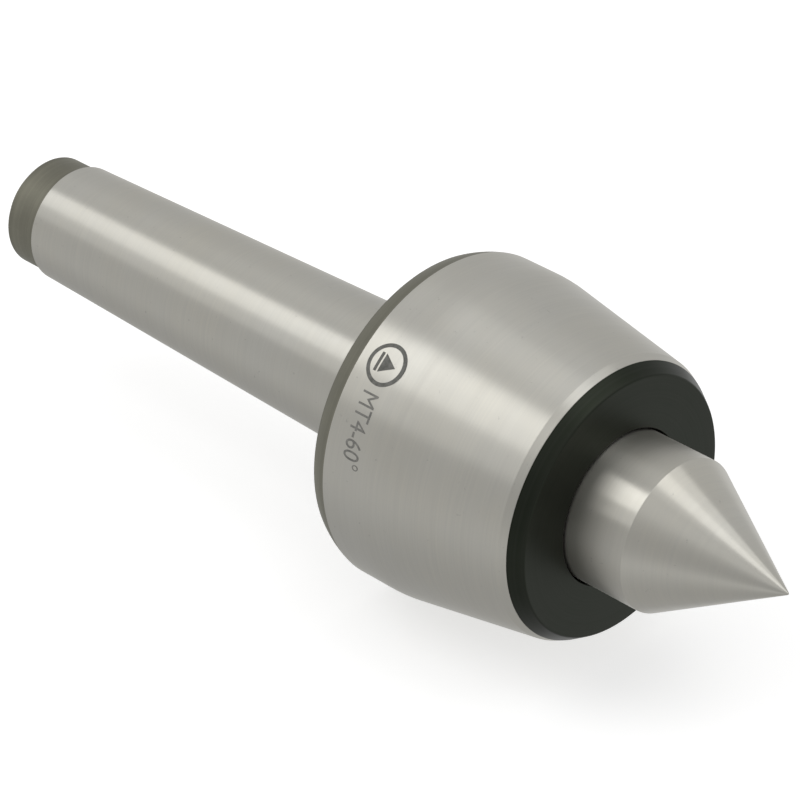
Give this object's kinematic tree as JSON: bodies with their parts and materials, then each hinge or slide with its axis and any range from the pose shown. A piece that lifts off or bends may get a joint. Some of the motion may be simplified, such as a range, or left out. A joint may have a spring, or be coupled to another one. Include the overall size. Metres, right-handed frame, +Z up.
{
  "type": "live center",
  "caption": "Revolving lathe tailstock center: a 60 degree point on a spindle that turns on bearings in a housing with a Morse taper 4 shank.",
  "frame": {"origin": "centre of the Morse taper's gauge plane, on the spindle's axis", "axes": "+X along the spindle's axis from the shank to the point, +Z up"},
  "size_m": [0.2094, 0.07, 0.07],
  "materials": {
    "housing_steel": "ground, satin, with an unground dark stub and rear band",
    "spindle_steel": "ground, satin",
    "black_oxide": "black oxide, satin",
    "bearing_steel": "polished",
    "cage_brass": "machined",
    "cage_steel": "pressed sheet",
    "spring_steel": "oiled, dark",
    "seal_rubber": "moulded nitrile"
  },
  "bodies": {
    "housing": {"housing_body": "housing_steel", "front_cover": "black_oxide", "shaft_seal": "seal_rubber", "wave_spring": "spring_steel", "front_bearing_outer_ring": "bearing_steel", "thrust_bearing_housing_washer": "bearing_steel", "needle_bearing_outer_ring": "bearing_steel", "needle_retaining_ring": "spring_steel"},
    "spindle": {"spindle": "spindle_steel", "spindle_retaining_ring": "spring_steel", "front_bearing_inner_ring": "bearing_steel", "thrust_bearing_shaft_washer": "bearing_steel"},
    "front_cage": {"front_bearing_cage": "cage_brass"},
    "thrust_cage": {"thrust_bearing_cage": "cage_steel"},
    "needle_cage": {"needle_bearing_cage": "cage_steel"},
    "front_ball_1": {"front_bearing_ball_1": "bearing_steel"},
    "front_ball_2": {"front_bearing_ball_2": "bearing_steel"},
    "front_ball_3": {"front_bearing_ball_3": "bearing_steel"},
    "front_ball_4": {"front_bearing_ball_4": "bearing_steel"},
    "front_ball_5": {"front_bearing_ball_5": "bearing_steel"},
    "front_ball_6": {"front_bearing_ball_6": "bearing_steel"},
    "front_ball_7": {"front_bearing_ball_7": "bearing_steel"},
    "front_ball_8": {"front_bearing_ball_8": "bearing_steel"},
    "front_ball_9": {"front_bearing_ball_9": "bearing_steel"},
    "thrust_ball_1": {"thrust_bearing_ball_1": "bearing_steel"},
    "thrust_ball_2": {"thrust_bearing_ball_2": "bearing_steel"},
    "thrust_ball_3": {"thrust_bearing_ball_3": "bearing_steel"},
    "thrust_ball_4": {"thrust_bearing_ball_4": "bearing_steel"},
    "thrust_ball_5": {"thrust_bearing_ball_5": "bearing_steel"},
    "thrust_ball_6": {"thrust_bearing_ball_6": "bearing_steel"},
    "thrust_ball_7": {"thrust_bearing_ball_7": "bearing_steel"},
    "thrust_ball_8": {"thrust_bearing_ball_8": "bearing_steel"},
    "thrust_ball_9": {"thrust_bearing_ball_9": "bearing_steel"},
    "thrust_ball_10": {"thrust_bearing_ball_10": "bearing_steel"},
    "needle_roller_1": {"needle_1": "bearing_steel"},
    "needle_roller_2": {"needle_2": "bearing_steel"},
    "needle_roller_3": {"needle_3": "bearing_steel"},
    "needle_roller_4": {"needle_4": "bearing_steel"},
    "needle_roller_5": {"needle_5": "bearing_steel"},
    "needle_roller_6": {"needle_6": "bearing_steel"},
    "needle_roller_7": {"needle_7": "bearing_steel"},
    "needle_roller_8": {"needle_8": "bearing_steel"},
    "needle_roller_9": {"needle_9": "bearing_steel"},
    "needle_roller_10": {"needle_10": "bearing_steel"},
    "needle_roller_11": {"needle_11": "bearing_steel"},
    "needle_roller_12": {"needle_12": "bearing_steel"}
  },
  "joints": [
    {"name": "spindle_spin", "type": "hinge", "parent": "housing", "child": "spindle", "pos_m": [0, 0, 0], "axis": [1, 0, 0], "continuous": true},
    {"name": "front_cage_orbit", "type": "hinge", "parent": "housing", "child": "front_cage", "pos_m": [0.0367, 0, 0], "axis": [1, 0, 0], "continuous": true},
    {"name": "thrust_cage_orbit", "type": "hinge", "parent": "housing", "child": "thrust_cage", "pos_m": [0.0183, 0, 0], "axis": [1, 0, 0], "continuous": true},
    {"name": "needle_cage_orbit", "type": "hinge", "parent": "housing", "child": "needle_cage", "pos_m": [-0.0205, 0, 0], "axis": [1, 0, 0], "continuous": true},
    {"name": "front_ball_1_roll", "type": "hinge", "parent": "front_cage", "child": "front_ball_1", "pos_m": [0.0367, 0, -0.01925], "axis": [1, 0, 0], "continuous": true},
    {"name": "front_ball_2_roll", "type": "hinge", "parent": "front_cage", "child": "front_ball_2", "pos_m": [0.0367, 0.01237, -0.01475], "axis": [1, 0, 0], "continuous": true},
    {"name": "front_ball_3_roll", "type": "hinge", "parent": "front_cage", "child": "front_ball_3", "pos_m": [0.0367, 0.01896, -0.00334], "axis": [1, 0, 0], "continuous": true},
    {"name": "front_ball_4_roll", "type": "hinge", "parent": "front_cage", "child": "front_ball_4", "pos_m": [0.0367, 0.01667, 0.00962], "axis": [1, 0, 0], "continuous": true},
    {"name": "front_ball_5_roll", "type": "hinge", "parent": "front_cage", "child": "front_ball_5", "pos_m": [0.0367, 0.00658, 0.01809], "axis": [1, 0, 0], "continuous": true},
    {"name": "front_ball_6_roll", "type": "hinge", "parent": "front_cage", "child": "front_ball_6", "pos_m": [0.0367, -0.00658, 0.01809], "axis": [1, 0, 0], "continuous": true},
    {"name": "front_ball_7_roll", "type": "hinge", "parent": "front_cage", "child": "front_ball_7", "pos_m": [0.0367, -0.01667, 0.00962], "axis": [1, 0, 0], "continuous": true},
    {"name": "front_ball_8_roll", "type": "hinge", "parent": "front_cage", "child": "front_ball_8", "pos_m": [0.0367, -0.01896, -0.00334], "axis": [1, 0, 0], "continuous": true},
    {"name": "front_ball_9_roll", "type": "hinge", "parent": "front_cage", "child": "front_ball_9", "pos_m": [0.0367, -0.01237, -0.01475], "axis": [1, 0, 0], "continuous": true},
    {"name": "thrust_ball_1_roll", "type": "hinge", "parent": "thrust_cage", "child": "thrust_ball_1", "pos_m": [0.0183, 0, -0.015], "axis": [0, 0, -1], "continuous": true},
    {"name": "thrust_ball_2_roll", "type": "hinge", "parent": "thrust_cage", "child": "thrust_ball_2", "pos_m": [0.0183, 0.00882, -0.01214], "axis": [0, 0.5878, -0.809], "continuous": true},
    {"name": "thrust_ball_3_roll", "type": "hinge", "parent": "thrust_cage", "child": "thrust_ball_3", "pos_m": [0.0183, 0.01427, -0.00464], "axis": [0, 0.9511, -0.309], "continuous": true},
    {"name": "thrust_ball_4_roll", "type": "hinge", "parent": "thrust_cage", "child": "thrust_ball_4", "pos_m": [0.0183, 0.01427, 0.00464], "axis": [0, 0.9511, 0.309], "continuous": true},
    {"name": "thrust_ball_5_roll", "type": "hinge", "parent": "thrust_cage", "child": "thrust_ball_5", "pos_m": [0.0183, 0.00882, 0.01214], "axis": [0, 0.5878, 0.809], "continuous": true},
    {"name": "thrust_ball_6_roll", "type": "hinge", "parent": "thrust_cage", "child": "thrust_ball_6", "pos_m": [0.0183, 0, 0.015], "axis": [0, 0, 1], "continuous": true},
    {"name": "thrust_ball_7_roll", "type": "hinge", "parent": "thrust_cage", "child": "thrust_ball_7", "pos_m": [0.0183, -0.00882, 0.01214], "axis": [0, -0.5878, 0.809], "continuous": true},
    {"name": "thrust_ball_8_roll", "type": "hinge", "parent": "thrust_cage", "child": "thrust_ball_8", "pos_m": [0.0183, -0.01427, 0.00464], "axis": [0, -0.9511, 0.309], "continuous": true},
    {"name": "thrust_ball_9_roll", "type": "hinge", "parent": "thrust_cage", "child": "thrust_ball_9", "pos_m": [0.0183, -0.01427, -0.00464], "axis": [0, -0.9511, -0.309], "continuous": true},
    {"name": "thrust_ball_10_roll", "type": "hinge", "parent": "thrust_cage", "child": "thrust_ball_10", "pos_m": [0.0183, -0.00882, -0.01214], "axis": [0, -0.5878, -0.809], "continuous": true},
    {"name": "needle_roller_1_roll", "type": "hinge", "parent": "needle_cage", "child": "needle_roller_1", "pos_m": [-0.0205, 0, -0.0088], "axis": [1, 0, 0], "continuous": true},
    {"name": "needle_roller_2_roll", "type": "hinge", "parent": "needle_cage", "child": "needle_roller_2", "pos_m": [-0.0205, 0.0044, -0.00762], "axis": [1, 0, 0], "continuous": true},
    {"name": "needle_roller_3_roll", "type": "hinge", "parent": "needle_cage", "child": "needle_roller_3", "pos_m": [-0.0205, 0.00762, -0.0044], "axis": [1, 0, 0], "continuous": true},
    {"name": "needle_roller_4_roll", "type": "hinge", "parent": "needle_cage", "child": "needle_roller_4", "pos_m": [-0.0205, 0.0088, 0], "axis": [1, 0, 0], "continuous": true},
    {"name": "needle_roller_5_roll", "type": "hinge", "parent": "needle_cage", "child": "needle_roller_5", "pos_m": [-0.0205, 0.00762, 0.0044], "axis": [1, 0, 0], "continuous": true},
    {"name": "needle_roller_6_roll", "type": "hinge", "parent": "needle_cage", "child": "needle_roller_6", "pos_m": [-0.0205, 0.0044, 0.00762], "axis": [1, 0, 0], "continuous": true},
    {"name": "needle_roller_7_roll", "type": "hinge", "parent": "needle_cage", "child": "needle_roller_7", "pos_m": [-0.0205, 0, 0.0088], "axis": [1, 0, 0], "continuous": true},
    {"name": "needle_roller_8_roll", "type": "hinge", "parent": "needle_cage", "child": "needle_roller_8", "pos_m": [-0.0205, -0.0044, 0.00762], "axis": [1, 0, 0], "continuous": true},
    {"name": "needle_roller_9_roll", "type": "hinge", "parent": "needle_cage", "child": "needle_roller_9", "pos_m": [-0.0205, -0.00762, 0.0044], "axis": [1, 0, 0], "continuous": true},
    {"name": "needle_roller_10_roll", "type": "hinge", "parent": "needle_cage", "child": "needle_roller_10", "pos_m": [-0.0205, -0.0088, 0], "axis": [1, 0, 0], "continuous": true},
    {"name": "needle_roller_11_roll", "type": "hinge", "parent": "needle_cage", "child": "needle_roller_11", "pos_m": [-0.0205, -0.00762, -0.0044], "axis": [1, 0, 0], "continuous": true},
    {"name": "needle_roller_12_roll", "type": "hinge", "parent": "needle_cage", "child": "needle_roller_12", "pos_m": [-0.0205, -0.0044, -0.00762], "axis": [1, 0, 0], "continuous": true}
  ],
  "couplings": [
    {"joint": "front_cage_orbit", "follows": "spindle_spin", "ratio": 0.39692},
    {"joint": "thrust_cage_orbit", "follows": "spindle_spin", "ratio": 0.5},
    {"joint": "needle_cage_orbit", "follows": "spindle_spin", "ratio": 0.42857},
    {"joint": "front_ball_1_roll", "follows": "spindle_spin", "ratio": -2.3221},
    {"joint": "front_ball_2_roll", "follows": "spindle_spin", "ratio": -2.3221},
    {"joint": "front_ball_3_roll", "follows": "spindle_spin", "ratio": -2.3221},
    {"joint": "front_ball_4_roll", "follows": "spindle_spin", "ratio": -2.3221},
    {"joint": "front_ball_5_roll", "follows": "spindle_spin", "ratio": -2.3221},
    {"joint": "front_ball_6_roll", "follows": "spindle_spin", "ratio": -2.3221},
    {"joint": "front_ball_7_roll", "follows": "spindle_spin", "ratio": -2.3221},
    {"joint": "front_ball_8_roll", "follows": "spindle_spin", "ratio": -2.3221},
    {"joint": "front_ball_9_roll", "follows": "spindle_spin", "ratio": -2.3221},
    {"joint": "thrust_ball_1_roll", "follows": "spindle_spin", "ratio": -2.1429},
    {"joint": "thrust_ball_2_roll", "follows": "spindle_spin", "ratio": -2.1429},
    {"joint": "thrust_ball_3_roll", "follows": "spindle_spin", "ratio": -2.1429},
    {"joint": "thrust_ball_4_roll", "follows": "spindle_spin", "ratio": -2.1429},
    {"joint": "thrust_ball_5_roll", "follows": "spindle_spin", "ratio": -2.1429},
    {"joint": "thrust_ball_6_roll", "follows": "spindle_spin", "ratio": -2.1429},
    {"joint": "thrust_ball_7_roll", "follows": "spindle_spin", "ratio": -2.1429},
    {"joint": "thrust_ball_8_roll", "follows": "spindle_spin", "ratio": -2.1429},
    {"joint": "thrust_ball_9_roll", "follows": "spindle_spin", "ratio": -2.1429},
    {"joint": "thrust_ball_10_roll", "follows": "spindle_spin", "ratio": -2.1429},
    {"joint": "needle_roller_1_roll", "follows": "spindle_spin", "ratio": -3.4286},
    {"joint": "needle_roller_2_roll", "follows": "spindle_spin", "ratio": -3.4286},
    {"joint": "needle_roller_3_roll", "follows": "spindle_spin", "ratio": -3.4286},
    {"joint": "needle_roller_4_roll", "follows": "spindle_spin", "ratio": -3.4286},
    {"joint": "needle_roller_5_roll", "follows": "spindle_spin", "ratio": -3.4286},
    {"joint": "needle_roller_6_roll", "follows": "spindle_spin", "ratio": -3.4286},
    {"joint": "needle_roller_7_roll", "follows": "spindle_spin", "ratio": -3.4286},
    {"joint": "needle_roller_8_roll", "follows": "spindle_spin", "ratio": -3.4286},
    {"joint": "needle_roller_9_roll", "follows": "spindle_spin", "ratio": -3.4286},
    {"joint": "needle_roller_10_roll", "follows": "spindle_spin", "ratio": -3.4286},
    {"joint": "needle_roller_11_roll", "follows": "spindle_spin", "ratio": -3.4286},
    {"joint": "needle_roller_12_roll", "follows": "spindle_spin", "ratio": -3.4286}
  ]
}
